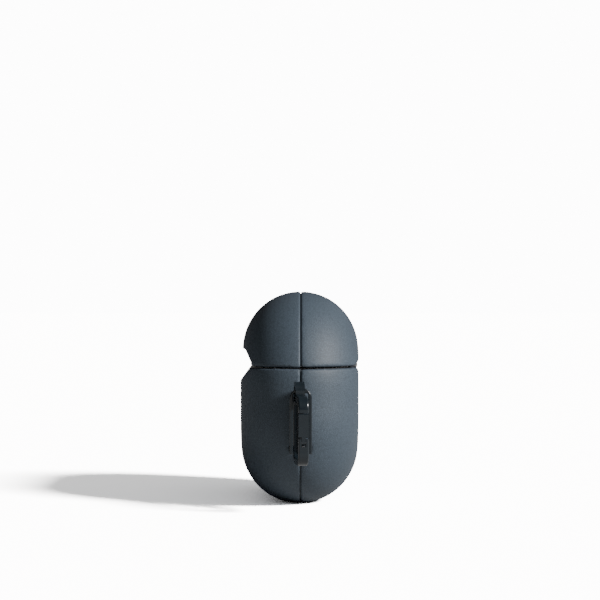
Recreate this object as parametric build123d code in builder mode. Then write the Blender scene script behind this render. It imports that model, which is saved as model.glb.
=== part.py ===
"""Wireless earbuds case: a charging case in a leather-covered shell, with a strap bail and carabiner.

Frame: origin at the middle of the flat foot, +Z up, X along the long side, front towards -Y.
The lid turns back about the hinge pin at the rear of the seam. Millimetres throughout.
"""

from build123d import *
import os
from math import cos, radians, sin

os.makedirs("parts", exist_ok=True)

# ---------------------------------------------------------------- driving dimensions
# Outer case
case_length = 65.0
case_height = 48.8
base_thickness = 27.0
lid_thickness = 26.85
lid_shift = 0.2
corner_radius = 22.0
foot_cut = 0.4
face_margin = 0.05

# Layers, from the outside in
leather_wall = 1.0
glue_gap = 0.03
shell_wall = 1.15
housing_inset = 2.3
housing_wall = 1.3
liner_inset = 3.7

# Seam between base and lid
seam_z = 31.8
seam_gap = 0.6
housing_gap = 0.3
base_rim_radius = 0.7
lid_rim_radius = 1.1

# Slit between the front and back leather panels
slit_y = 0.15
slit_width = 0.4
rib_inset = 0.5
rib_gap = 0.04

# Thumb notch across the front
notch_lid_depth = 3.0
notch_lid_slope = 2.0
notch_top_z = 36.05
notch_base_depth = 2.35
notch_base_slope = 1.37

# Hinge
axis_inset = 0.85
barrel_radius = 0.78
pin_radius = 0.40
pin_fit = 0.03
barrel_clearance = 0.12
hinge_width = 26.0
knuckle_count = 5
knuckle_gap = 0.15
leaf_thickness = 0.5
leaf_height = 5.6
leaf_lift = 1.5
screw_spacing = 16.0
screw_radius = 0.45
screw_head_radius = 0.85
screw_head_height = 0.3
screw_length = 1.9
leaf_gap = 0.1
web_near = 0.2
web_far = 2.2

# Earbud pockets
pocket_x = 15.0
pocket_radius = 7.6
pocket_wall = 0.8
pocket_depth = 9.2
stem_x = 15.5
stem_radius = 3.2
stem_floor = 8.6
pocket_floor_radius = 4.5
deck_top = 31.2
deck_thickness = 1.6
pin_spacing = 2.4
pin_contact_radius = 0.4
pin_contact_height = 1.3
lid_recess_depth = 9.6
lid_recess_width = 9.0

# Magnets
latch_radius = 1.3
latch_height = 1.4
latch_x = 3.4
latch_y = -7.6
bud_magnet_x = 10.2
bud_magnet_y = 7.2
bud_magnet_z = 20.5
bud_magnet_size = (2.6, 1.2, 3.0)

# Battery and electronics
battery_low = 10.2
battery_high = 28.6
battery_y = -0.6
battery_size = (11.0, 10.6)
battery_radius = 1.6
board_y = 6.6
board_z = 16.5
board_width = 14.0
board_height = 19.0
board_thickness = 0.8
chip_height = 0.7
chip_layout = (
    (-3.6, 10.6, 4.2, 4.2),
    (3.8, 11.0, 3.0, 3.0),
    (-4.0, 15.0, 2.4, 2.4),
    (0.8, 9.4, 1.4, 0.9),
)
switch_size = 3.0
switch_height = 0.8
plunger_radius = 0.8
plunger_height = 0.3
coil_z = 18.6
coil_radius = 6.6
coil_bore = 3.2
coil_thickness = 0.45
ferrite_margin = 0.4
flex_thickness = 0.2

# Status light in the front
light_z = 26.2
light_radius = 0.8

# Charging port in the foot
port_width = 9.0
port_thickness = 3.2
port_wall = 0.3
port_height = 7.2
port_opening_width = 13.0
port_opening_thickness = 5.0
tongue_width = 6.6
tongue_thickness = 0.7
collar_wall = 0.7

# Rear button
button_z = 20.0
button_radius = 3.0
button_travel = 0.35
button_gap = 0.12
button_flange = 0.35
button_stem_radius = 1.4

# Strap bail and carabiner
bail_y = 0.25
bail_center_x = 35.4
bail_bar = 1.2
bail_leg = 0.8
bail_foot_width = 0.5
bail_half_width = 2.45
bail_foot_z = 13.0
bail_foot_height = 1.6
bail_top_z = 27.6
bail_foot_inner_x = 29.1
bail_inner_radius = 0.45
bail_edge_radius = 0.2

# Carabiner, drawn in its own plane about the crown of the bail
clip_thickness = 2.3
clip_yaw = 7.5
clip_offset_y = -0.32
clip_wire = 1.4
clip_left = -2.6
clip_right = 7.6
clip_low = -16.15
clip_shoulder = -0.95
clip_corner = 2.9
clip_edge_radius = 0.35
eye_outer = 1.9
eye_bore = 0.95
eye_drop = 0.05
eye_thickness = 2.0
gate_low = -10.9
gate_top = -4.65
gate_width = 1.3
gate_thickness = 2.2
gate_shoulder = 1.05
gate_tip_gap = 0.1
hook_thickness = 0.85
fork_top = 0.75
fork_gap = 1.0
gate_pin_radius = 0.3
spring_length = 2.2
spring_thickness = 0.2

# ---------------------------------------------------------------- derived places
form_height = case_height + foot_cut
form_mid_z = case_height / 2 - foot_cut / 2
base_front_y = -base_thickness / 2
base_back_y = base_thickness / 2
housing_back_y = base_back_y - housing_inset
axis_y = base_back_y - axis_inset
base_top_z = seam_z - seam_gap / 2
lid_low_z = seam_z + seam_gap / 2
bail_crown_z = bail_top_z - bail_bar / 2


def rounded_form(inset, thickness, shift):
    """The case's pebble shape, drawn in by inset on every side."""
    half_depth = thickness / 2 - inset
    with BuildPart() as form:
        with BuildSketch(Plane.XZ.offset(-shift)):
            with Locations((0, form_mid_z)):
                RectangleRounded(
                    case_length - 2 * inset,
                    form_height - 2 * inset,
                    corner_radius - inset,
                )
        extrude(amount=half_depth, both=True)
        rims = form.faces().filter_by(Axis.Y).edges()
        fillet(rims, radius=half_depth - face_margin)
    return form.part


def slab(low_z, high_z, low_y=-20.0, high_y=20.0, half_x=40.0):
    """A plain block that keeps or cuts one zone of the case."""
    with BuildPart() as block:
        with BuildSketch(Plane.XY.offset(low_z)):
            with Locations((0, (low_y + high_y) / 2)):
                Rectangle(2 * half_x, high_y - low_y)
        extrude(amount=high_z - low_z)
    return block.part


def cross_rod(center_y, center_z, radius, half_x):
    """A rod along X."""
    with BuildPart() as rod:
        with BuildSketch(Plane.YZ.offset(-half_x)):
            with Locations((center_y, center_z)):
                Circle(radius)
        extrude(amount=2 * half_x)
    return rod.part


def notch_wedge():
    """The V cut across the whole front at the seam, where a thumb lifts the lid."""
    lid_y = base_front_y + notch_lid_depth
    base_y = base_front_y + notch_base_depth
    out_y = base_front_y - notch_lid_depth
    with BuildPart() as wedge:
        with BuildSketch(Plane.YZ.offset(-case_length)):
            with BuildLine():
                Polyline(
                    (lid_y, seam_z),
                    (lid_y - (notch_top_z - seam_z) / notch_lid_slope, notch_top_z),
                    (out_y, notch_top_z),
                    (out_y, seam_z - (base_y - out_y) * notch_base_slope),
                    (base_y, seam_z),
                    close=True,
                )
            make_face()
        extrude(amount=2 * case_length)
    return wedge.part


# ---------------------------------------------------------------- outer envelopes
base_form = rounded_form(0, base_thickness, 0)
lid_form = rounded_form(0, lid_thickness, lid_shift)
notch = notch_wedge()
barrel_room = cross_rod(axis_y, seam_z, barrel_radius + barrel_clearance, hinge_width / 2 + 0.3)

with BuildPart() as base_envelope:
    add(base_form)
    add(slab(0, base_top_z), mode=Mode.INTERSECT)
    base_rim = base_envelope.faces().sort_by(Axis.Z)[-1].edges()
    fillet(base_rim, radius=base_rim_radius)
    add(notch, mode=Mode.SUBTRACT)
    add(barrel_room, mode=Mode.SUBTRACT)

with BuildPart() as lid_envelope:
    add(lid_form)
    add(slab(lid_low_z, case_height + 5), mode=Mode.INTERSECT)
    lid_rim = lid_envelope.faces().sort_by(Axis.Z)[0].edges()
    fillet(lid_rim, radius=lid_rim_radius)
    add(notch, mode=Mode.SUBTRACT)
    add(barrel_room, mode=Mode.SUBTRACT)


def half_space(side, reach=30.0):
    """Everything in front (-1) or behind (+1) the slit between the leather panels."""
    edge = slit_y + side * slit_width / 2
    if side < 0:
        return slab(-5, case_height + 5, -reach, edge)
    return slab(-5, case_height + 5, edge, reach)


def y_rod(center_x, center_z, radius, low_y, high_y):
    """A rod along Y."""
    with BuildPart() as rod:
        with BuildSketch(Plane.XZ.offset(-high_y)):
            with Locations((center_x, center_z)):
                Circle(radius)
        extrude(amount=high_y - low_y)
    return rod.part


def block(low, high):
    """A box between two opposite corners."""
    size = [b - a for a, b in zip(low, high)]
    with BuildPart() as box:
        with Locations(tuple((a + b) / 2 for a, b in zip(low, high))):
            Box(*size)
    return box.part


def save(piece, name):
    """Label one sub-part and write its STEP file."""
    piece.part.label = name
    export_step(piece.part, f"parts/{name}.step")


def ribbed_form(inset, thickness, shift):
    """A shell's outside, with the low rib that stands up between the leather panels."""
    half_rib = slit_width / 2 - rib_gap
    with BuildPart() as form:
        add(rounded_form(rib_inset, thickness, shift))
        add(slab(-foot_cut, case_height + 1, slit_y - half_rib, slit_y + half_rib), mode=Mode.INTERSECT)
        add(rounded_form(inset, thickness, shift))
    return form.part


# ---------------------------------------------------------------- shared forms and openings
leather_inner_base = rounded_form(leather_wall, base_thickness, 0)
leather_inner_lid = rounded_form(leather_wall, lid_thickness, lid_shift)
base_blank = ribbed_form(leather_wall + glue_gap, base_thickness, 0)
lid_blank = ribbed_form(leather_wall + glue_gap, lid_thickness, lid_shift)
shell_inner = rounded_form(leather_wall + glue_gap + shell_wall, base_thickness, 0)
housing_outer = rounded_form(housing_inset, base_thickness, 0)
housing_inner = rounded_form(housing_inset + housing_wall, base_thickness, 0)
liner_form = rounded_form(liner_inset, base_thickness, 0)

with BuildPart() as port_hole:
    with BuildSketch(Plane.XY.offset(-2)):
        SlotOverall(port_opening_width, port_opening_thickness)
    extrude(amount=2 + housing_inset - foot_cut - 0.05)

housing_inner_y = base_front_y + housing_inset + housing_wall
light_hole = y_rod(0, light_z, light_radius, base_front_y - 2, housing_inner_y + 0.2)
button_hole = y_rod(0, button_z, button_radius + button_gap, housing_back_y - 0.05, base_back_y + 2)
flange_radius = button_radius + button_flange
flange_room = y_rod(0, button_z, flange_radius + button_gap, housing_back_y, housing_back_y + 0.95)


def bail_post(side, spread=0.0):
    """One foot of the bail, from the standing leg in through the shell."""
    foot_mid = bail_y + side * (bail_half_width - bail_foot_width / 2)
    low = (
        bail_foot_inner_x - spread,
        foot_mid - bail_foot_width / 2 - spread,
        bail_foot_z - spread,
    )
    high = (
        bail_center_x + bail_bar / 2,
        foot_mid + bail_foot_width / 2 + spread,
        bail_foot_z + bail_foot_height + spread,
    )
    return block(low, high)


bail_holes = [bail_post(side, 0.04) for side in (-1, 1)]

# ---------------------------------------------------------------- leather panels
for name, side in (("base_leather_front", -1), ("base_leather_back", 1)):
    with BuildPart() as panel:
        add(base_envelope.part)
        add(leather_inner_base, mode=Mode.SUBTRACT)
        add(half_space(side), mode=Mode.INTERSECT)
        add(port_hole.part, mode=Mode.SUBTRACT)
        if side < 0:
            add(light_hole, mode=Mode.SUBTRACT)
        else:
            add(button_hole, mode=Mode.SUBTRACT)
        for hole in bail_holes:
            add(hole, mode=Mode.SUBTRACT)
    save(panel, name)

for name, side in (("lid_leather_front", -1), ("lid_leather_back", 1)):
    with BuildPart() as panel:
        add(lid_envelope.part)
        add(leather_inner_lid, mode=Mode.SUBTRACT)
        add(half_space(side), mode=Mode.INTERSECT)
    save(panel, name)

# ---------------------------------------------------------------- hinge
leaf_in_y = housing_back_y + leaf_gap
leaf_out_y = leaf_in_y + leaf_thickness
knuckle_pitch = hinge_width / knuckle_count
web_out_y = base_back_y - leather_wall - glue_gap - 0.05


def hinge_leaf(direction, owned):
    """A folded steel leaf: a plate against the housing with knuckles round the pin."""
    bore = pin_radius + (pin_fit if direction > 0 else 0.005)
    plate_near = seam_z + direction * leaf_lift
    plate_far = seam_z + direction * leaf_height
    web_z = seam_z + direction * (web_near + web_far) / 2
    with BuildPart() as leaf:
        with Locations((0, (leaf_in_y + leaf_out_y) / 2, (plate_near + plate_far) / 2)):
            Box(hinge_width, leaf_thickness, leaf_height - leaf_lift)
        for index in owned:
            middle = (index - (knuckle_count - 1) / 2) * knuckle_pitch
            width = knuckle_pitch - knuckle_gap
            with Locations((middle, (leaf_in_y + web_out_y) / 2, web_z)):
                Box(width, web_out_y - leaf_in_y, web_far - web_near)
            with Locations(Location((middle, axis_y, seam_z), (0, 90, 0))):
                Cylinder(barrel_radius, width)
        with Locations(Location((0, axis_y, seam_z), (0, 90, 0))):
            Cylinder(bore, hinge_width + 2, mode=Mode.SUBTRACT)
        screw_z = seam_z + direction * (leaf_lift + leaf_height) / 2
        for x in (-screw_spacing / 2, screw_spacing / 2):
            with Locations(Location((x, leaf_out_y, screw_z), (-90, 0, 0))):
                CounterBoreHole(
                    screw_radius + 0.05,
                    screw_head_radius + 0.05,
                    screw_head_height + 0.02,
                )
    return leaf


base_leaf = hinge_leaf(-1, (0, 2, 4))
save(base_leaf, "hinge_base_leaf")
lid_leaf = hinge_leaf(1, (1, 3))
save(lid_leaf, "hinge_lid_leaf")

with BuildPart() as pin:
    with Locations(Location((0, axis_y, seam_z), (0, 90, 0))):
        Cylinder(pin_radius, hinge_width - 0.1)
    fillet(pin.edges().filter_by(GeomType.CIRCLE), radius=0.1)
save(pin, "hinge_pin")

upright = (Align.CENTER, Align.CENTER, Align.MIN)
for name, direction in (("hinge_base_screws", -1), ("hinge_lid_screws", 1)):
    screw_z = seam_z + direction * (leaf_lift + leaf_height) / 2
    with BuildPart() as screws:
        for x in (-screw_spacing / 2, screw_spacing / 2):
            with Locations(Location((x, leaf_out_y, screw_z), (90, 0, 0))):
                Cylinder(screw_head_radius, screw_head_height, align=upright)
                Cylinder(screw_radius, screw_length, align=upright)
    save(screws, name)

# ---------------------------------------------------------------- polycarbonate shells
leaf_room_x = hinge_width / 2 + 0.3


def leaf_room(direction):
    """Pocket in a shell for the hinge leaf, open towards the seam for its knuckles."""
    z_near = seam_z - direction * 1.0
    z_far = seam_z + direction * (leaf_height + 0.3)
    z_web = seam_z + direction * (leaf_lift + 0.9)
    low, high = sorted((z_near, z_far))
    with BuildPart() as room:
        add(block((-leaf_room_x, housing_back_y, low), (leaf_room_x, leaf_out_y + 0.08, high)))
        low, high = sorted((z_near, z_web))
        add(block((-leaf_room_x, housing_back_y, low), (leaf_room_x, axis_y + 0.05, high)))
    return room.part


with BuildPart() as base_shell:
    add(base_envelope.part)
    add(base_blank, mode=Mode.INTERSECT)
    add(shell_inner, mode=Mode.SUBTRACT)
    add(port_hole.part, mode=Mode.SUBTRACT)
    add(light_hole, mode=Mode.SUBTRACT)
    add(button_hole, mode=Mode.SUBTRACT)
    add(flange_room, mode=Mode.SUBTRACT)
    add(leaf_room(-1), mode=Mode.SUBTRACT)
    for hole in bail_holes:
        add(hole, mode=Mode.SUBTRACT)
save(base_shell, "base_shell")

with BuildPart() as lid_shell:
    add(lid_envelope.part)
    add(lid_blank, mode=Mode.INTERSECT)
    add(shell_inner, mode=Mode.SUBTRACT)
    add(leaf_room(1), mode=Mode.SUBTRACT)
save(lid_shell, "lid_shell")

# ---------------------------------------------------------------- white inner case
base_housing_top = seam_z - housing_gap / 2
lid_housing_low = seam_z + housing_gap / 2
housing_floor_z = -foot_cut + housing_inset

with BuildPart() as port_cut:
    with BuildSketch(Plane.XY.offset(-1)):
        SlotOverall(port_width + 0.1, port_thickness + 0.1)
    extrude(amount=6)

stem_hole = y_rod(0, button_z, button_stem_radius + 0.1, housing_back_y - 3, housing_back_y + 1)


def screw_pilots(direction):
    """Threaded holes in the housing wall for the two hinge screws."""
    screw_z = seam_z + direction * (leaf_lift + leaf_height) / 2
    pilot_end_y = leaf_out_y - screw_length - 0.1
    with BuildPart() as pilots:
        for x in (-screw_spacing / 2, screw_spacing / 2):
            add(y_rod(x, screw_z, screw_radius + 0.01, pilot_end_y, leaf_out_y))
    return pilots.part


with BuildPart() as base_housing:
    add(housing_outer)
    add(housing_inner, mode=Mode.SUBTRACT)
    add(slab(-5, base_housing_top), mode=Mode.INTERSECT)
    add(port_cut.part, mode=Mode.SUBTRACT)
    add(light_hole, mode=Mode.SUBTRACT)
    add(stem_hole, mode=Mode.SUBTRACT)
    add(screw_pilots(-1), mode=Mode.SUBTRACT)
save(base_housing, "base_housing")

with BuildPart() as lid_housing:
    add(housing_outer)
    add(housing_inner, mode=Mode.SUBTRACT)
    add(slab(lid_housing_low, case_height + 5), mode=Mode.INTERSECT)
    add(screw_pilots(1), mode=Mode.SUBTRACT)
save(lid_housing, "lid_housing")

# ---------------------------------------------------------------- earbud cradle
pocket_floor_z = deck_top - pocket_depth


def pocket_solid(side, grow):
    """Bowl and stem bore of one earbud pocket; grow gives the outside of its wall."""
    bowl_radius = pocket_radius + grow
    floor_z = pocket_floor_z - grow
    stem_top = pocket_floor_z + 2
    with BuildPart() as pocket:
        with BuildSketch(Plane.XY.offset(floor_z)):
            with Locations((side * pocket_x, 0)):
                Circle(bowl_radius)
        extrude(amount=deck_top - floor_z + (0 if grow else 1))
        floor_edge = pocket.edges().sort_by(Axis.Z)[0]
        fillet(floor_edge, radius=pocket_floor_radius + grow)
        with BuildSketch(Plane.XY.offset(stem_floor - grow)):
            with Locations((side * stem_x, 0)):
                Circle(stem_radius + grow)
        extrude(amount=stem_top - stem_floor)
    return pocket.part


pocket_outers = [pocket_solid(side, pocket_wall) for side in (-1, 1)]
pocket_inners = [pocket_solid(side, 0) for side in (-1, 1)]

with BuildPart() as cradle:
    add(liner_form)
    add(slab(deck_top - deck_thickness, deck_top), mode=Mode.INTERSECT)
    for outer in pocket_outers:
        add(outer)
    for inner in pocket_inners:
        add(inner, mode=Mode.SUBTRACT)
    for side in (-1, 1):
        for x in (-pin_spacing / 2, pin_spacing / 2):
            with Locations((side * stem_x + x, 0, stem_floor - pocket_wall / 2)):
                Cylinder(pin_contact_radius + 0.02, 2 * pocket_wall, mode=Mode.SUBTRACT)
save(cradle, "earbud_cradle")

with BuildPart() as pogo_pins:
    for side in (-1, 1):
        for x in (-pin_spacing / 2, pin_spacing / 2):
            with Locations((side * stem_x + x, 0, stem_floor - pocket_wall)):
                Cylinder(pin_contact_radius, pin_contact_height, align=upright)
save(pogo_pins, "charging_pins")

# ---------------------------------------------------------------- lid liner
liner_low = lid_housing_low + 0.2
with BuildPart() as base_magnets:
    for side in (-1, 1):
        with Locations((side * latch_x, latch_y, deck_top - deck_thickness - 0.05)):
            Cylinder(latch_radius, latch_height, align=(Align.CENTER, Align.CENTER, Align.MAX))
save(base_magnets, "base_latch_magnets")

with BuildPart() as lid_magnet_holes:
    for side in (-1, 1):
        with Locations((side * latch_x, latch_y, liner_low - 0.5)):
            Cylinder(latch_radius + 0.05, latch_height + 0.6, align=upright)

with BuildPart() as lid_magnets:
    for side in (-1, 1):
        with Locations((side * latch_x, latch_y, liner_low)):
            Cylinder(latch_radius, latch_height, align=upright)
save(lid_magnets, "lid_latch_magnets")

with BuildPart() as lid_liner:
    add(liner_form)
    add(slab(liner_low, case_height + 5), mode=Mode.INTERSECT)
    with BuildSketch(Plane.XY.offset(liner_low - 1)):
        for side in (-1, 1):
            with Locations((side * pocket_x, 0)):
                Circle(pocket_radius)
        Rectangle(2 * pocket_x, lid_recess_width)
    extrude(amount=lid_recess_depth + 1, mode=Mode.SUBTRACT)
    add(lid_magnet_holes.part, mode=Mode.SUBTRACT)
save(lid_liner, "lid_liner")

with BuildPart() as bud_magnets:
    for side in (-1, 1):
        for y in (-bud_magnet_y, bud_magnet_y):
            with Locations((side * bud_magnet_x, y, bud_magnet_z)):
                Box(*bud_magnet_size)
save(bud_magnets, "earbud_magnets")

# ---------------------------------------------------------------- power and electronics
with BuildPart() as battery:
    with Locations((0, battery_y, (battery_low + battery_high) / 2)):
        Box(*battery_size, battery_high - battery_low)
    fillet(battery.edges().filter_by(Axis.Z), radius=battery_radius)
    fillet(battery.faces().sort_by(Axis.Z)[-1].edges(), radius=0.5)
save(battery, "battery")

with BuildPart() as board:
    with BuildSketch(Plane.XZ.offset(-board_y)):
        with Locations((0, board_z)):
            RectangleRounded(board_width, board_height, 1.0)
    extrude(amount=-board_thickness)
save(board, "main_board")

with BuildPart() as chips:
    for x, z, width, height in chip_layout:
        with Locations((x, board_y + board_thickness + chip_height / 2, z)):
            Box(width, chip_height, height)
save(chips, "board_chips")

switch_y = board_y + board_thickness
plunger_y = switch_y + switch_height + plunger_height
with BuildPart() as switch:
    with Locations((0, switch_y + switch_height / 2, button_z)):
        Box(switch_size, switch_height, switch_size)
    add(y_rod(0, button_z, plunger_radius, switch_y + switch_height, plunger_y))
save(switch, "button_switch")

with BuildPart() as port:
    with BuildSketch(Plane.XY.offset(housing_floor_z + 0.1)):
        SlotOverall(port_width, port_thickness)
        SlotOverall(
            port_width - 2 * port_wall,
            port_thickness - 2 * port_wall,
            mode=Mode.SUBTRACT,
        )
    extrude(amount=port_height)
    with BuildSketch(Plane.XY.offset(housing_floor_z + port_height)):
        SlotOverall(port_width, port_thickness)
    extrude(amount=0.3)
save(port, "charging_port")

with BuildPart() as tongue:
    with BuildSketch(Plane.XY.offset(housing_floor_z + 1.2)):
        Rectangle(tongue_width, tongue_thickness)
    extrude(amount=port_height - 1.2)
    tongue_end = tongue.faces().sort_by(Axis.Z)[0].edges()
    chamfer(tongue_end, length=0.15)
save(tongue, "port_contacts")

with BuildPart() as collar:
    with BuildSketch(Plane.XY.offset(0.35)):
        SlotOverall(port_opening_width - 0.1, port_opening_thickness - 0.1)
        SlotOverall(
            port_opening_width - 0.1 - 2 * collar_wall,
            port_opening_thickness - 0.1 - 2 * collar_wall,
            mode=Mode.SUBTRACT,
        )
    extrude(amount=housing_floor_z - 0.4)
save(collar, "port_collar")

coil_y = base_front_y + liner_inset
with BuildPart() as coil:
    with BuildSketch(Plane.XZ.offset(-(coil_y + 0.5))):
        with Locations((0, coil_z)):
            Circle(coil_radius)
            Circle(coil_bore, mode=Mode.SUBTRACT)
    extrude(amount=coil_thickness)
save(coil, "wireless_coil")

with BuildPart() as ferrite:
    with BuildSketch(Plane.XZ.offset(-(coil_y + 0.95))):
        with Locations((0, coil_z)):
            Circle(coil_radius + ferrite_margin)
    extrude(amount=0.4)
save(ferrite, "coil_ferrite")

with BuildPart() as light_guide:
    add(y_rod(0, light_z, light_radius - 0.05, base_front_y + 0.15, housing_inner_y))
save(light_guide, "status_light_guide")

with BuildPart() as light:
    with Locations((0, coil_y + 0.4, light_z)):
        Box(1.6, 0.6, 0.8)
save(light, "status_led")

with BuildPart() as flex:
    flex_z = stem_floor - pocket_wall - 0.35
    with Locations((0, 3.2, flex_z)):
        Box(2 * stem_x + 5, 3.0, flex_thickness)
    for side in (-1, 1):
        with Locations((side * stem_x, 0.9, flex_z)):
            Box(4.0, 2.6, flex_thickness)
save(flex, "pin_flex")

# ---------------------------------------------------------------- rear button
stem_tip_y = plunger_y + button_travel + 0.1
flange_y = housing_back_y + button_travel + 0.08
with BuildPart() as button:
    add(y_rod(0, button_z, button_radius, flange_y, base_back_y - 0.15))
    face_edge = button.edges().filter_by(GeomType.CIRCLE).sort_by(Axis.Y)[-1]
    fillet(face_edge, radius=0.3)
    add(y_rod(0, button_z, flange_radius, flange_y, flange_y + 0.4))
    add(y_rod(0, button_z, button_stem_radius, stem_tip_y, flange_y + 0.1))
save(button, "pairing_button")

# ---------------------------------------------------------------- strap bail
bail_inner_half = bail_half_width - bail_leg
with BuildPart() as bail:
    with BuildSketch(Plane.YZ.offset(bail_center_x - bail_bar / 2)):
        with BuildLine():
            crown_low = bail_top_z - bail_half_width
            left_y = bail_y - bail_half_width
            right_y = bail_y + bail_half_width
            left_leg = Line((left_y, bail_foot_z), (left_y, crown_low))
            crown = RadiusArc(left_leg @ 1, (right_y, crown_low), bail_half_width)
            right_leg = Line(crown @ 1, (right_y, bail_foot_z))
            Line(right_leg @ 1, left_leg @ 0)
        make_face()
        with BuildLine():
            opening_top = bail_top_z - bail_bar
            below_z = bail_foot_z - 1
            opening = FilletPolyline(
                (bail_y - bail_inner_half, below_z),
                (bail_y - bail_inner_half, opening_top),
                (bail_y + bail_inner_half, opening_top),
                (bail_y + bail_inner_half, below_z),
                radius=bail_inner_radius,
                close=False,
            )
            Line(opening @ 1, opening @ 0)
        make_face(mode=Mode.SUBTRACT)
    extrude(amount=bail_bar)
    for side in (-1, 1):
        add(bail_post(side))
    loop_edges = bail.faces().filter_by(Axis.X).sort_by(Axis.X)[-1].edges()
    fillet(loop_edges, radius=bail_edge_radius)
save(bail, "strap_bail")


# ---------------------------------------------------------------- carabiner
gate_u = clip_right - clip_wire / 2
turn = radians(clip_yaw)
clip_plane = Plane(
    origin=(bail_center_x, bail_y + clip_offset_y, bail_crown_z),
    x_dir=(cos(turn), sin(turn), 0),
    z_dir=(sin(turn), -cos(turn), 0),
)
clip_mid = ((clip_left + clip_right) / 2, (clip_low + clip_shoulder) / 2)
clip_size = (clip_right - clip_left, clip_shoulder - clip_low)
mouth_low = gate_low + fork_top
mouth_top = gate_top + gate_tip_gap
gate_foot = gate_low + gate_shoulder

with BuildPart() as clip:
    with BuildSketch(clip_plane):
        with Locations(clip_mid):
            RectangleRounded(*clip_size, clip_corner)
            RectangleRounded(
                clip_size[0] - 2 * clip_wire,
                clip_size[1] - 2 * clip_wire,
                clip_corner - clip_wire,
                mode=Mode.SUBTRACT,
            )
    extrude(amount=clip_thickness / 2, both=True)
    outline = clip.edges().filter_by(lambda edge: abs(edge.tangent_at(0.5).dot(clip_plane.z_dir)) < 0.1)
    fillet(outline, radius=clip_edge_radius)
    with BuildSketch(clip_plane):
        Circle(eye_outer)
        with Locations((0, clip_shoulder / 2 - 0.6)):
            Rectangle(2 * eye_outer, abs(clip_shoulder) + 1.2)
    extrude(amount=eye_thickness / 2, both=True)
    with BuildSketch(clip_plane):
        with Locations((0, -eye_drop)):
            Circle(eye_bore)
    extrude(amount=clip_thickness, both=True, mode=Mode.SUBTRACT)
    with BuildSketch(clip_plane):
        with Locations((gate_u, (mouth_low + mouth_top) / 2)):
            Rectangle(2 * clip_wire, mouth_top - mouth_low)
    extrude(amount=clip_thickness, both=True, mode=Mode.SUBTRACT)
    with BuildSketch(clip_plane):
        with Locations((gate_u, gate_low)):
            Rectangle(2 * clip_wire, 2.0)
    extrude(amount=fork_gap / 2, both=True, mode=Mode.SUBTRACT)
    with BuildSketch(clip_plane):
        with Locations((gate_u, gate_low)):
            Circle(gate_pin_radius + 0.005)
    extrude(amount=clip_thickness, both=True, mode=Mode.SUBTRACT)
    with BuildSketch(clip_plane):
        with Locations((gate_u, gate_low - 2.0)):
            Rectangle(2 * spring_thickness, spring_length + 0.2)
    extrude(amount=0.35, both=True, mode=Mode.SUBTRACT)
save(clip, "carabiner_body")

with BuildPart() as gate:
    with BuildSketch(clip_plane):
        with Locations((gate_u, (gate_foot + gate_top) / 2)):
            RectangleRounded(gate_width, gate_top - gate_foot, 0.25)
    extrude(amount=gate_thickness / 2, both=True)
    with BuildSketch(clip_plane):
        with Locations((gate_u, gate_low)):
            Circle(gate_width / 2)
        with Locations((gate_u, gate_low + 0.7)):
            Rectangle(gate_width, 1.4)
    extrude(amount=hook_thickness / 2, both=True)
    with BuildSketch(clip_plane):
        with Locations((gate_u, gate_low)):
            Circle(gate_pin_radius + 0.03)
    extrude(amount=clip_thickness, both=True, mode=Mode.SUBTRACT)
save(gate, "carabiner_gate")

with BuildPart() as gate_pin:
    with BuildSketch(clip_plane):
        with Locations((gate_u, gate_low)):
            Circle(gate_pin_radius)
    extrude(amount=clip_thickness / 2 - 0.02, both=True)
save(gate_pin, "gate_pin")

with BuildPart() as gate_spring:
    with BuildSketch(clip_plane):
        with Locations((gate_u, gate_low - 1.95)):
            Rectangle(spring_thickness, spring_length)
    extrude(amount=0.3, both=True)
save(gate_spring, "gate_spring")
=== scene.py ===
"""Leather-covered charging case for wireless earbuds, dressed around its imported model.

Everything is in metres in the case's own frame: origin in the middle of the foot, +Z up,
+X towards the bail and carabiner, -Y the front with the thumb notch.
"""

from math import pi, radians

import bmesh
import bpy
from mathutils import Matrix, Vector


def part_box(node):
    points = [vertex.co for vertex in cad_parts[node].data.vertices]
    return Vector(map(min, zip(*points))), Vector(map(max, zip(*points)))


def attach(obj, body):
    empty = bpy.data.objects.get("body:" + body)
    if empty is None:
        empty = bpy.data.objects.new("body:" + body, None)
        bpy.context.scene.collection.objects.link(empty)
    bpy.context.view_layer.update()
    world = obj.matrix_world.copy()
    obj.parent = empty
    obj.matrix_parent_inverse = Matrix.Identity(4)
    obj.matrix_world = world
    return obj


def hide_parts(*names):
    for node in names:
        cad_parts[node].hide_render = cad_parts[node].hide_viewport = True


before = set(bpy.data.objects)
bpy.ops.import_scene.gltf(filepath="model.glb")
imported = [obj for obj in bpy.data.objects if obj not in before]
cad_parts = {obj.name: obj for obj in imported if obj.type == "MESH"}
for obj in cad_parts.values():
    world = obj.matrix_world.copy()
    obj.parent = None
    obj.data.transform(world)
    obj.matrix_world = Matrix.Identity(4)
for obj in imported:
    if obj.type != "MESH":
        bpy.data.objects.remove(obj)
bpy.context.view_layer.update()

MM = 0.001

# ------------------------------------------------------------------ camera
# A long lens looks level at the narrow side that carries the bail, from about forty centimetres away.
camera_data = bpy.data.cameras.new("camera")
camera_data.lens = 107.3
camera_data.sensor_width = 36.0
camera_data.clip_start = 10 * MM
camera = bpy.data.objects.new("camera", camera_data)
camera.location = (427.5 * MM, 0.09 * MM, 46.8 * MM)
camera.rotation_euler = (radians(90), 0, radians(90))
bpy.context.scene.collection.objects.link(camera)
bpy.context.scene.camera = camera

# ------------------------------------------------------------------ white table and soft studio light
# The table is a plain white sweep, lit by one broad lamp from the right and a weak even sky.
# What lights the case is an ordinary white, and only the view of the table is lifted to paper white.
TABLE_SIZE = 12.0
TABLE_PRINT = 13.0
TABLE_BOUNCE = 0.5
SKY_PRINT = 13.0
SKY_FILL = 0.075


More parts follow.
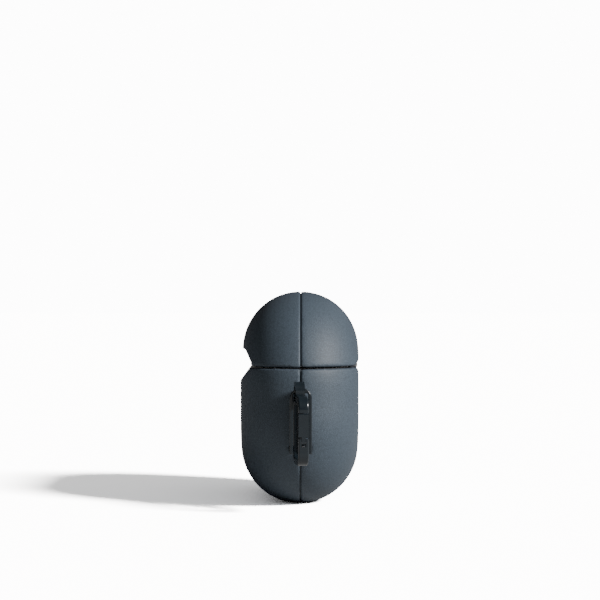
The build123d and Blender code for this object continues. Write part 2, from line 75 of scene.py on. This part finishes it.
def nodes_of(owner):
    """The node tree of a material or world, emptied."""
    owner.use_nodes = True
    tree = owner.node_tree
    tree.nodes.clear()
    return tree


def seen_or_lit(tree, seen, lit):
    """A grey that is seen for camera rays and lit for all others."""
    path = tree.nodes.new("ShaderNodeLightPath")
    mix = tree.nodes.new("ShaderNodeMix")
    mix.data_type = "RGBA"
    mix.inputs["A"].default_value = (lit, lit, lit, 1)
    mix.inputs["B"].default_value = (seen, seen, seen, 1)
    tree.links.new(path.outputs["Is Camera Ray"], mix.inputs["Factor"])
    return mix.outputs["Result"]


table_paint = bpy.data.materials.new("table_paint")
tree = nodes_of(table_paint)
diffuse = tree.nodes.new("ShaderNodeBsdfDiffuse")
output = tree.nodes.new("ShaderNodeOutputMaterial")
tree.links.new(seen_or_lit(tree, TABLE_PRINT, TABLE_BOUNCE), diffuse.inputs["Color"])
tree.links.new(diffuse.outputs["BSDF"], output.inputs["Surface"])

bpy.ops.object.select_all(action="DESELECT")
bpy.ops.mesh.primitive_plane_add(size=TABLE_SIZE, location=(0, 0, 0))
table = bpy.context.active_object
table.name = "table"
table.data.materials.append(table_paint)

sky = bpy.data.worlds.new("sky")
bpy.context.scene.world = sky
tree = nodes_of(sky)
background = tree.nodes.new("ShaderNodeBackground")
output = tree.nodes.new("ShaderNodeOutputWorld")
tree.links.new(seen_or_lit(tree, SKY_PRINT, SKY_FILL), background.inputs["Color"])
tree.links.new(background.outputs["Background"], output.inputs["Surface"])

# The lamp stands low on the right and a little towards the camera, far off, so the table is lit evenly.
KEY_STRENGTH = 5.9
KEY_SPREAD = 11.0
KEY_TINT = (1.0, 0.985, 0.97)
KEY_FROM = Vector((0.41, 0.75, 0.52))
key_data = bpy.data.lights.new("key_lamp", "SUN")
key_data.energy = KEY_STRENGTH
key_data.angle = radians(KEY_SPREAD)
key_data.color = KEY_TINT
key_lamp = bpy.data.objects.new("key_lamp", key_data)
key_lamp.location = KEY_FROM
key_lamp.rotation_euler = (-KEY_FROM).to_track_quat("-Z", "Y").to_euler()
bpy.context.scene.collection.objects.link(key_lamp)

# ------------------------------------------------------------------ leather covers
# Slate blue-grey calf leather, a millimetre thick, is glued over the shells in four panels.
# Front and back panels meet in an open slit round the narrow sides, and their edges are turned and rolled.
CASE_LENGTH = 65.0 * MM
CASE_HEIGHT = 48.8 * MM
FOOT_CUT = 0.4 * MM
CORNER_RADIUS = 22.0 * MM
BASE_THICKNESS = 27.0 * MM
LID_THICKNESS = 26.85 * MM
LID_SHIFT = 0.2 * MM
LEATHER_WALL = 1.0 * MM
SEAM_Z = 31.8 * MM
SEAM_GAP = 0.6 * MM
SLIT_Y = 0.15 * MM
SLIT_WIDTH = 0.4 * MM
EDGE_SPARE = 0.10 * MM
NOTCH_LID_Y = -BASE_THICKNESS / 2 + 3.0 * MM
NOTCH_LID_SLOPE = 2.0
NOTCH_TOP_Z = 35.6 * MM
NOTCH_BASE_Y = -BASE_THICKNESS / 2 + 2.35 * MM
NOTCH_BASE_SLOPE = 1.37
PORT_SLOT = (13.0 * MM, 5.0 * MM)
LIGHT_Z = 26.2 * MM
LIGHT_RADIUS = 0.8 * MM
BUTTON_Z = 20.0 * MM
BUTTON_HOLE_RADIUS = 3.12 * MM
BAIL_FOOT_HEIGHT = 1.6 * MM
BAIL_FOOT_WIDTH = 0.5 * MM
BARREL_ROOM = 0.9 * MM
PUNCH_SIDES = 48
PUNCH_DEPTH = 6.0 * MM
FOOT_CLEARANCE = 0.1 * MM
CORNER_STEPS = 20
ROLL_STEPS = 18
VOXEL = 0.29 * MM
EVEN_PASSES = 4
BACK_SLIT_PASSES = 16
BACK_SEAM_PASSES = 8
LID_CORNER = 0.9 * MM
BASE_CORNER = 0.6 * MM
BACK_REACH = 1.3 * MM
HAIR = 0.00001


def lone_select(piece):
    """Make one object the only selected and active one."""
    bpy.ops.object.select_all(action="DESELECT")
    piece.select_set(True)
    bpy.context.view_layer.objects.active = piece


def pick_edges(piece, wanted):
    """In edit mode, select just the edges whose two ends satisfy wanted."""
    bpy.ops.mesh.select_mode(type="EDGE")
    bpy.ops.mesh.select_all(action="DESELECT")
    mesh = bmesh.from_edit_mesh(piece.data)
    for edge in mesh.edges:
        edge.select = wanted(edge.verts[0].co, edge.verts[1].co)
    mesh.select_flush_mode()
    bmesh.update_edit_mesh(piece.data)


def pebble(name, thickness, shift):
    """The case's outer shape: a block with wide corners and fully rolled rims."""
    bpy.ops.object.select_all(action="DESELECT")
    middle = (CASE_HEIGHT - FOOT_CUT) / 2
    bpy.ops.mesh.primitive_cube_add(size=1, location=(0, shift, middle))
    piece = bpy.context.active_object
    piece.name = name
    piece.scale = (CASE_LENGTH, thickness, CASE_HEIGHT + FOOT_CUT)
    bpy.ops.object.transform_apply(location=True, rotation=True, scale=True)
    bpy.ops.object.mode_set(mode="EDIT")
    pick_edges(piece, lambda a, b: abs(a.y - b.y) > HAIR)
    bpy.ops.mesh.bevel(offset=CORNER_RADIUS, segments=CORNER_STEPS, affect="EDGES", clamp_overlap=False)
    reach = thickness / 2
    pick_edges(
        piece,
        lambda a, b: abs(a.y - b.y) < HAIR and abs(abs(a.y - shift) - reach) < HAIR,
    )
    bpy.ops.mesh.bevel(offset=reach - 0.05 * MM, segments=ROLL_STEPS, affect="EDGES", clamp_overlap=False)
    bpy.ops.object.mode_set(mode="OBJECT")
    return piece


def trim(piece, point, normal, closed=False):
    """Cut the surface by a plane and throw away what lies on the normal's side."""
    lone_select(piece)
    bpy.ops.object.mode_set(mode="EDIT")
    bpy.ops.mesh.select_all(action="SELECT")
    bpy.ops.mesh.bisect(plane_co=point, plane_no=normal, clear_outer=True, use_fill=closed)
    bpy.ops.object.mode_set(mode="OBJECT")


def apply_modifier(piece, kind, **settings):
    """Add a modifier with its settings and apply it."""
    lone_select(piece)
    modifier = piece.modifiers.new(kind.lower(), kind)
    for key, value in settings.items():
        setattr(modifier, key, value)
    bpy.ops.object.modifier_apply(modifier=modifier.name)


def cut_by(piece, cutter):
    """Subtract a cutter from the piece and remove the cutter."""
    apply_modifier(piece, "BOOLEAN", operation="DIFFERENCE", object=cutter, solver="EXACT")
    bpy.data.objects.remove(cutter)


def round_cutter(centre, radius, depth, along):
    """A round punch along Y or X."""
    bpy.ops.object.select_all(action="DESELECT")
    turn = (pi / 2, 0, 0) if along == "Y" else (0, pi / 2, 0)
    bpy.ops.mesh.primitive_cylinder_add(
        vertices=PUNCH_SIDES, radius=radius, depth=depth, location=centre, rotation=turn
    )
    return bpy.context.active_object


def block_cutter(low, high):
    """A square punch between two corners."""
    bpy.ops.object.select_all(action="DESELECT")
    low, high = Vector(low), Vector(high)
    bpy.ops.mesh.primitive_cube_add(size=1, location=(low + high) / 2)
    cutter = bpy.context.active_object
    cutter.scale = high - low
    bpy.ops.object.transform_apply(location=True, rotation=True, scale=True)
    return cutter


def slot_cutter(width, thickness, low_z, high_z):
    """A round-ended punch along Z under the charging port."""
    bpy.ops.object.select_all(action="DESELECT")
    bpy.ops.mesh.primitive_cube_add(size=1, location=(0, 0, (low_z + high_z) / 2))
    cutter = bpy.context.active_object
    cutter.scale = (width, thickness, high_z - low_z)
    bpy.ops.object.transform_apply(location=True, rotation=True, scale=True)
    bpy.ops.object.mode_set(mode="EDIT")
    pick_edges(cutter, lambda a, b: abs(a.z - b.z) > HAIR)
    bpy.ops.mesh.bevel(offset=thickness / 2 - HAIR, segments=12, affect="EDGES", clamp_overlap=False)
    bpy.ops.object.mode_set(mode="OBJECT")
    return cutter


def notch_cutter(is_lid):
    """One side of the thumb notch: a block up to the seam, sliced along the notch's sloping face."""
    if is_lid:
        low_z, high_z = SEAM_Z - MM, NOTCH_TOP_Z
        deep_y, lean = NOTCH_LID_Y, 1 / NOTCH_LID_SLOPE
    else:
        low_z, high_z = SEAM_Z - 10 * MM, SEAM_Z + MM
        deep_y, lean = NOTCH_BASE_Y, -1 / NOTCH_BASE_SLOPE
    cutter = block_cutter((-CASE_LENGTH, -CASE_LENGTH, low_z), (CASE_LENGTH, 0, high_z))
    trim(cutter, (0, deep_y, SEAM_Z), (0, 1, lean), closed=True)
    return cutter


def back_corner_cutter(is_lid):
    """A long wedge that takes the corner off the back wall at the seam, so the lid can swing over."""
    if is_lid:
        corner_y, lean = LID_THICKNESS / 2 + LID_SHIFT - LID_CORNER, 1
    else:
        corner_y, lean = BASE_THICKNESS / 2 - BASE_CORNER, -1
    edge_z = SEAM_Z + lean * SEAM_GAP / 2
    low_corner = (-CASE_LENGTH, 0, edge_z - 2 * MM)
    cutter = block_cutter(low_corner, (CASE_LENGTH, CASE_LENGTH, edge_z + 2 * MM))
    trim(cutter, (0, corner_y, edge_z), (0, -1, lean), closed=True)
    return cutter


def ease(piece, passes, near=None):
    """Roll the edges by smoothing, all over or only where near says so."""
    group = ""
    if near:
        marked = piece.vertex_groups.new(name="edge")
        marked.add([v.index for v in piece.data.vertices if near(v.co)], 1.0, "REPLACE")
        group = marked.name
    apply_modifier(piece, "SMOOTH", factor=0.5, iterations=passes, vertex_group=group)


def leather_panel(name, node, body, is_lid, side):
    """One glued panel: cut from the outer shape, thickened inwards, punched, its cut edges rolled."""
    piece = pebble(name, LID_THICKNESS if is_lid else BASE_THICKNESS, LID_SHIFT if is_lid else 0)
    slit_edge = SLIT_Y + side * (SLIT_WIDTH / 2 - EDGE_SPARE)
    trim(piece, (0, slit_edge, 0), (0, -side, 0))
    if is_lid:
        trim(piece, (0, 0, SEAM_Z + SEAM_GAP / 2 - EDGE_SPARE), (0, 0, -1))
    else:
        trim(piece, (0, 0, SEAM_Z - SEAM_GAP / 2 + EDGE_SPARE), (0, 0, 1))
    apply_modifier(piece, "SOLIDIFY", thickness=LEATHER_WALL, offset=-1, use_even_offset=True)
    cut_by(piece, notch_cutter(is_lid) if side < 0 else back_corner_cutter(is_lid))
    if not is_lid:
        low_corner = (-CASE_LENGTH, -CASE_LENGTH, -5 * MM)
        cut_by(piece, block_cutter(low_corner, (CASE_LENGTH, CASE_LENGTH, 0)))
        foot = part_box("strap_bail")
        cut_by(piece, slot_cutter(PORT_SLOT[0], PORT_SLOT[1], -2 * MM, 3 * MM))
        if side < 0:
            cut_by(piece, round_cutter((0, -BASE_THICKNESS / 2, LIGHT_Z), LIGHT_RADIUS, PUNCH_DEPTH, "Y"))
        else:
            centre = (0, BASE_THICKNESS / 2, BUTTON_Z)
            cut_by(piece, round_cutter(centre, BUTTON_HOLE_RADIUS, PUNCH_DEPTH, "Y"))
        low_z = foot[0][2] - FOOT_CLEARANCE
        high_z = low_z + BAIL_FOOT_HEIGHT + 2 * FOOT_CLEARANCE
        outer_y = foot[0][1] - FOOT_CLEARANCE if side < 0 else foot[1][1] + FOOT_CLEARANCE
        inner_y = outer_y - side * (BAIL_FOOT_WIDTH + 2 * FOOT_CLEARANCE)
        low_y, high_y = sorted((outer_y, inner_y))
        cut_by(piece, block_cutter((foot[0][0] - MM, low_y, low_z), (foot[1][0], high_y, high_z)))
    if side > 0:
        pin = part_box("hinge_pin")
        centre = [(low + high) / 2 for low, high in zip(pin[0], pin[1])]
        cut_by(piece, round_cutter(centre, BARREL_ROOM, pin[1][0] - pin[0][0] + 0.7 * MM, "X"))
    apply_modifier(piece, "REMESH", mode="VOXEL", voxel_size=VOXEL)
    if side > 0:
        ease(piece, BACK_SLIT_PASSES, lambda place: place.y < slit_edge + BACK_REACH)
        ease(piece, BACK_SEAM_PASSES, lambda place: abs(place.z - SEAM_Z) < BACK_REACH + SEAM_GAP)
    ease(piece, EVEN_PASSES)
    lone_select(piece)
    bpy.ops.object.shade_smooth()
    piece.data.materials.clear()
    piece.data.materials.append(slate_leather)
    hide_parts(node)
    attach(piece, body)
    return piece


def shader_group(name, inputs, outputs):
    """An empty node group with named inputs and outputs, and its two end nodes."""
    group = bpy.data.node_groups.new(name, "ShaderNodeTree")
    for socket, value in inputs.items():
        kind = "NodeSocketFloat" if isinstance(value, float) else "NodeSocketVector"
        made = group.interface.new_socket(socket, in_out="INPUT", socket_type=kind)
        if isinstance(value, float):
            made.default_value = value
    for socket in outputs:
        group.interface.new_socket(socket, in_out="OUTPUT", socket_type="NodeSocketFloat")
    enter = group.nodes.new("NodeGroupInput")
    leave = group.nodes.new("NodeGroupOutput")
    return group, enter, leave


def noise_in(group, enter, size_socket, detail, roughness):
    """A noise whose scale comes from one of the group's inputs."""
    noise = group.nodes.new("ShaderNodeTexNoise")
    noise.inputs["Detail"].default_value = detail
    noise.inputs["Roughness"].default_value = roughness
    group.links.new(enter.outputs["Place"], noise.inputs["Vector"])
    group.links.new(enter.outputs[size_socket], noise.inputs["Scale"])
    return noise.outputs["Fac"]


def math_in(group, operation, first, second):
    """One arithmetic step on two sockets or numbers."""
    step = group.nodes.new("ShaderNodeMath")
    step.operation = operation
    for index, value in enumerate((first, second)):
        if isinstance(value, (int, float)):
            step.inputs[index].default_value = value
        else:
            group.links.new(value, step.inputs[index])
    return step.outputs[0]


# Leather grain: closed pores and fine wrinkles between small pebbles, over a slow mottle from the dye.
WRINKLE_SCALE = 900.0
WRINKLE_REACH = 0.5 * MM
CREASE_WIDTH = 0.22
PEBBLE_HEIGHT = 0.55
PORE_HEIGHT = 0.6
leather_grain, enter, leave = shader_group(
    "leather_grain",
    {"Place": None, "Pebble": 2400.0, "Pore": 7000.0, "Mottle": 130.0},
    ("Height", "Crease", "Tone"),
)
cells = leather_grain.nodes.new("ShaderNodeTexVoronoi")
cells.feature = "DISTANCE_TO_EDGE"
warp = leather_grain.nodes.new("ShaderNodeTexNoise")
warp.inputs["Scale"].default_value = WRINKLE_SCALE
warp.inputs["Detail"].default_value = 2.0
warp_step = leather_grain.nodes.new("ShaderNodeVectorMath")
warp_step.operation = "MULTIPLY_ADD"
warp_step.inputs[1].default_value = (WRINKLE_REACH, WRINKLE_REACH, WRINKLE_REACH)
leather_grain.links.new(enter.outputs["Place"], warp.inputs["Vector"])
leather_grain.links.new(warp.outputs["Color"], warp_step.inputs[0])
leather_grain.links.new(enter.outputs["Place"], warp_step.inputs[2])
leather_grain.links.new(warp_step.outputs[0], cells.inputs["Vector"])
leather_grain.links.new(enter.outputs["Pebble"], cells.inputs["Scale"])
crease = leather_grain.nodes.new("ShaderNodeMapRange")
crease.inputs["From Max"].default_value = CREASE_WIDTH
leather_grain.links.new(cells.outputs["Distance"], crease.inputs["Value"])
pore = noise_in(leather_grain, enter, "Pore", 4.0, 0.6)
tone = noise_in(leather_grain, enter, "Mottle", 5.0, 0.55)
raised = math_in(leather_grain, "MULTIPLY", crease.outputs["Result"], PEBBLE_HEIGHT)
height = math_in(leather_grain, "ADD", raised, math_in(leather_grain, "MULTIPLY", pore, PORE_HEIGHT))
leather_grain.links.new(height, leave.inputs["Height"])
leather_grain.links.new(crease.outputs["Result"], leave.inputs["Crease"])
leather_grain.links.new(tone, leave.inputs["Tone"])

# The slate hide: the dye runs a shade deeper in patches, painted shade darkens the grain's creases, and it
# is satin.
DYE_DEEP = (0.060, 0.081, 0.106, 1)
DYE_FADED = (0.076, 0.101, 0.130, 1)
CREASE_PAINTED_SHADE = (0.046, 0.061, 0.078, 1)
GRAIN_DEPTH = 0.06 * MM
slate_leather = bpy.data.materials.new("slate_leather")
tree = nodes_of(slate_leather)
place = tree.nodes.new("ShaderNodeTexCoord")
grain = tree.nodes.new("ShaderNodeGroup")
grain.node_tree = leather_grain
tree.links.new(place.outputs["Object"], grain.inputs["Place"])
dye = tree.nodes.new("ShaderNodeMix")
dye.data_type = "RGBA"
dye.inputs["A"].default_value = DYE_DEEP
dye.inputs["B"].default_value = DYE_FADED
tree.links.new(grain.outputs["Tone"], dye.inputs["Factor"])
# Painted shade: the colour goes darker towards the grain's creases, where shade would fall.
dark = tree.nodes.new("ShaderNodeMix")
dark.data_type = "RGBA"
dark.inputs["A"].default_value = CREASE_PAINTED_SHADE
tree.links.new(grain.outputs["Crease"], dark.inputs["Factor"])
tree.links.new(dye.outputs["Result"], dark.inputs["B"])
satin = tree.nodes.new("ShaderNodeMapRange")
satin.inputs["To Min"].default_value = 0.52
satin.inputs["To Max"].default_value = 0.64
tree.links.new(grain.outputs["Tone"], satin.inputs["Value"])
bump = tree.nodes.new("ShaderNodeBump")
bump.inputs["Strength"].default_value = 0.3
bump.inputs["Distance"].default_value = GRAIN_DEPTH
tree.links.new(grain.outputs["Height"], bump.inputs["Height"])
surface = tree.nodes.new("ShaderNodeBsdfPrincipled")
surface.inputs["Specular IOR Level"].default_value = 0.4
tree.links.new(dark.outputs["Result"], surface.inputs["Base Color"])
tree.links.new(satin.outputs["Result"], surface.inputs["Roughness"])
tree.links.new(bump.outputs["Normal"], surface.inputs["Normal"])
output = tree.nodes.new("ShaderNodeOutputMaterial")
tree.links.new(surface.outputs["BSDF"], output.inputs["Surface"])

leather_panel("front_base_leather", "base_leather_front", "case_base", False, -1)
leather_panel("back_base_leather", "base_leather_back", "case_base", False, 1)
leather_panel("front_lid_leather", "lid_leather_front", "case_lid", True, -1)
leather_panel("back_lid_leather", "lid_leather_back", "case_lid", True, 1)

# ------------------------------------------------------------------ shells under the leather
# Moulded polycarbonate halves that carry the leather; their open edges at the notch and the slit
# are painted with the leather's own edge dye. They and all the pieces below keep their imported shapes.
TEXTURE_DEPTH = 0.01 * MM
POLISH_DEPTH = 0.004 * MM
PAINT_DEPTH = 0.02 * MM
moulded_skin, enter, leave = shader_group(
    "moulded_skin",
    {"Place": None, "Texture": 4000.0, "Handling": 150.0},
    ("Height", "Rub"),
)
moulded_skin.links.new(noise_in(moulded_skin, enter, "Texture", 3.0, 0.6), leave.inputs["Height"])
moulded_skin.links.new(noise_in(moulded_skin, enter, "Handling", 6.0, 0.6), leave.inputs["Rub"])


def finish(
    name, dark, light, roughness,
    metallic=0.0, texture=4000.0, handling=150.0, depth=TEXTURE_DEPTH, coat=0.0,
):
    """A material whose colour and gloss drift with handling, over a fine moulded or drawn texture."""
    material = bpy.data.materials.new(name)
    tree = nodes_of(material)
    place = tree.nodes.new("ShaderNodeTexCoord")
    skin = tree.nodes.new("ShaderNodeGroup")
    skin.node_tree = moulded_skin
    skin.inputs["Texture"].default_value = texture
    skin.inputs["Handling"].default_value = handling
    tree.links.new(place.outputs["Object"], skin.inputs["Place"])
    tint = tree.nodes.new("ShaderNodeMix")
    tint.data_type = "RGBA"
    tint.inputs["A"].default_value = (*dark, 1)
    tint.inputs["B"].default_value = (*light, 1)
    tree.links.new(skin.outputs["Rub"], tint.inputs["Factor"])
    gloss = tree.nodes.new("ShaderNodeMapRange")
    gloss.inputs["To Min"].default_value = roughness * 0.8
    gloss.inputs["To Max"].default_value = roughness * 1.25
    tree.links.new(skin.outputs["Rub"], gloss.inputs["Value"])
    bump = tree.nodes.new("ShaderNodeBump")
    bump.inputs["Strength"].default_value = 0.3
    bump.inputs["Distance"].default_value = depth
    tree.links.new(skin.outputs["Height"], bump.inputs["Height"])
    surface = tree.nodes.new("ShaderNodeBsdfPrincipled")
    surface.inputs["Metallic"].default_value = metallic
    surface.inputs["Coat Weight"].default_value = coat
    surface.inputs["Coat Roughness"].default_value = 0.08
    tree.links.new(tint.outputs["Result"], surface.inputs["Base Color"])
    tree.links.new(gloss.outputs["Result"], surface.inputs["Roughness"])
    tree.links.new(bump.outputs["Normal"], surface.inputs["Normal"])
    output = tree.nodes.new("ShaderNodeOutputMaterial")
    tree.links.new(surface.outputs["BSDF"], output.inputs["Surface"])
    return material


def dress(material, *nodes):
    """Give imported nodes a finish."""
    for node in nodes:
        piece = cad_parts[node]
        for slot in piece.material_slots:
            slot.link = "OBJECT"
            slot.material = material


dress(
    finish(
        "edge_dye", (0.020, 0.027, 0.035), (0.036, 0.047, 0.059), 0.62,
        texture=3000.0, handling=400.0, depth=PAINT_DEPTH,
    ),
    "base_shell", "lid_shell",
)
dress(
    finish("black_collar", (0.016, 0.018, 0.021), (0.026, 0.029, 0.033), 0.5),
    "port_collar",
)

# ------------------------------------------------------------------ white inner case and pairing button
# The charging case proper: glossy white moulded halves, hinged behind, with a satin cradle and lid liner
# that hold the earbuds. The button at the back is polished like the case.
dress(
    finish(
        "white_gloss", (0.84, 0.84, 0.83), (0.89, 0.89, 0.88), 0.16,
        texture=900.0, depth=POLISH_DEPTH, coat=0.3,
    ),
    "base_housing", "lid_housing", "pairing_button",
)
dress(
    finish("white_satin", (0.76, 0.76, 0.75), (0.83, 0.83, 0.82), 0.38),
    "earbud_cradle", "lid_liner",
)

# ------------------------------------------------------------------ contacts, magnets and electronics
# Gold-plated spring contacts under the stems, nickel-plated magnets, a foil-wrapped cell, a green board
# with its chips, and the contact tongue of the charging port.
dress(
    finish("gold_contact", (0.78, 0.58, 0.26), (0.88, 0.70, 0.36), 0.22, metallic=1.0),
    "charging_pins",
)
dress(
    finish("black_insulator", (0.018, 0.018, 0.018), (0.035, 0.035, 0.035), 0.42),
    "port_contacts", "board_chips",
)
dress(
    finish("nickel_plate", (0.66, 0.66, 0.65), (0.78, 0.78, 0.77), 0.18, metallic=1.0),
    "earbud_magnets", "base_latch_magnets", "lid_latch_magnets", "button_switch",
)
dress(
    finish("battery_can", (0.52, 0.53, 0.55), (0.66, 0.67, 0.69), 0.32, metallic=1.0, handling=60.0),
    "battery",
)
dress(
    finish("circuit_board", (0.012, 0.085, 0.045), (0.025, 0.13, 0.07), 0.35, texture=1500.0, coat=0.4),
    "main_board",
)

# ------------------------------------------------------------------ hinge and small steel parts
# Drawn and pressed stainless steel: two leaves, their screws and pin, the port's shell, and the gate's
# pin and spring.
dress(
    finish("hinge_steel", (0.48, 0.49, 0.50), (0.62, 0.63, 0.64), 0.28, metallic=1.0, texture=6000.0),
    "hinge_base_leaf", "hinge_lid_leaf", "hinge_base_screws", "hinge_lid_screws", "hinge_pin",
    "charging_port", "gate_pin", "gate_spring",
)

# ------------------------------------------------------------------ charging coil, status light and flex
# A flat copper winding on a sintered ferrite plate, a frosted light guide with its lamp, and the amber
# film that carries the contacts' wires.
dress(
    finish("copper_winding", (0.55, 0.24, 0.12), (0.78, 0.40, 0.23), 0.30, metallic=1.0, texture=9000.0),
    "wireless_coil",
)
dress(
    finish("ferrite", (0.045, 0.045, 0.050), (0.080, 0.080, 0.085), 0.65),
    "coil_ferrite",
)
dress(
    finish("frosted_guide", (0.80, 0.80, 0.77), (0.90, 0.90, 0.88), 0.45),
    "status_light_guide", "status_led",
)
dress(
    finish("flex_film", (0.42, 0.20, 0.04), (0.55, 0.30, 0.08), 0.30, coat=0.3),
    "pin_flex",
)

# ------------------------------------------------------------------ strap bail and carabiner
# Cast zinc, plated and finished in a deep blue-black lacquer that has rubbed a little thin
# where it is handled. The bail's feet pass through the leather.
dress(
    finish(
        "dark_enamel", (0.005, 0.009, 0.013), (0.011, 0.018, 0.024), 0.26,
        texture=1800.0, handling=500.0, coat=0.35,
    ),
    "strap_bail", "carabiner_body", "carabiner_gate",
)
